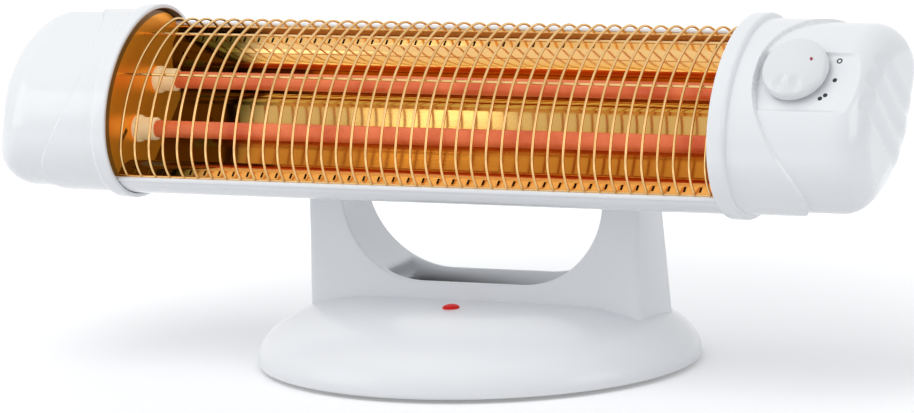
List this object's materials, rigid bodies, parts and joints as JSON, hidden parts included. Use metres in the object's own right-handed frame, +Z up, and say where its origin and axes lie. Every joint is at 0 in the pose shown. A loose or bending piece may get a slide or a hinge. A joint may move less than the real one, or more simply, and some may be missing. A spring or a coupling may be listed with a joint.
{
  "type": "quartz heater",
  "caption": "Table-top quartz heater: a tilted oval head with glowing tubes and a polished reflector behind a wire guard, on a windowed stand with an oval base.",
  "frame": {"origin": "on the table, under the middle of the whole heater's outline", "axes": "+X along the head towards the control knob, -Y to the front where the heat goes, +Z up"},
  "size_m": [0.552, 0.2168, 0.2066],
  "materials": {
    "white_shell": "gloss",
    "white_caps": "gloss",
    "white_stand": "gloss",
    "white_knob": "gloss",
    "polished_reflector": "polished",
    "end_plates": "satin",
    "guard_wire": "bright plated",
    "quartz": "frosted by the glow",
    "winding": "glowing wire",
    "ceramic": "matt",
    "terminal": "plain",
    "steel": "zinc plated",
    "black_plastic": "matt",
    "pale_plastic": "matt",
    "bottom_plate": "matt",
    "rubber": "matt",
    "red_lens": "clear tinted",
    "lamp_glass": "clear"
  },
  "bodies": {
    "heater": {"rear_shell": "white_shell", "end_cap_right": "white_caps", "end_cap_left": "white_caps", "stand_column": "white_stand", "base_cover": "white_stand", "reflector": "polished_reflector", "end_plate_right": "end_plates", "end_plate_left": "end_plates", "guard_hoops": "guard_wire", "guard_rails": "guard_wire", "quartz_tube_upper": "quartz", "quartz_tube_lower": "quartz", "heating_winding_upper": "winding", "heating_winding_lower": "winding", "ceramic_upper_right": "ceramic", "ceramic_upper_left": "ceramic", "ceramic_lower_right": "ceramic", "ceramic_lower_left": "ceramic", "terminal_upper_right": "terminal", "terminal_upper_left": "terminal", "terminal_lower_right": "terminal", "terminal_lower_left": "terminal", "cap_screws": "steel", "saddle_screws": "steel", "column_screws": "steel", "cover_screws": "steel", "anchor_plates": "steel", "switch_nut": "steel", "tip_spring": "steel", "rotary_switch": "black_plastic", "tip_switch": "black_plastic", "cord_bush": "black_plastic", "terminal_block": "pale_plastic", "base_plate": "bottom_plate", "rubber_feet": "rubber", "indicator_lens": "red_lens", "pilot_lamp": "lamp_glass"},
    "control_knob": {"knob": "white_knob", "switch_shaft": "steel"},
    "tip_over_plunger": {"tip_plunger": "black_plastic"}
  },
  "joints": [
    {"name": "knob_turn", "type": "hinge", "parent": "heater", "child": "control_knob", "pos_m": [0.2334, -0.05474, 0.18083], "axis": [0, -0.7431, 0.6691], "range_deg": [-56, 3]},
    {"name": "plunger_travel", "type": "slide", "parent": "heater", "child": "tip_over_plunger", "axis": [0, 0, -1], "range_m": [0, 0.004], "stiffness_N_per_m": 150, "springref_m": 0.008, "deforming": ["tip_spring"]}
  ]
}
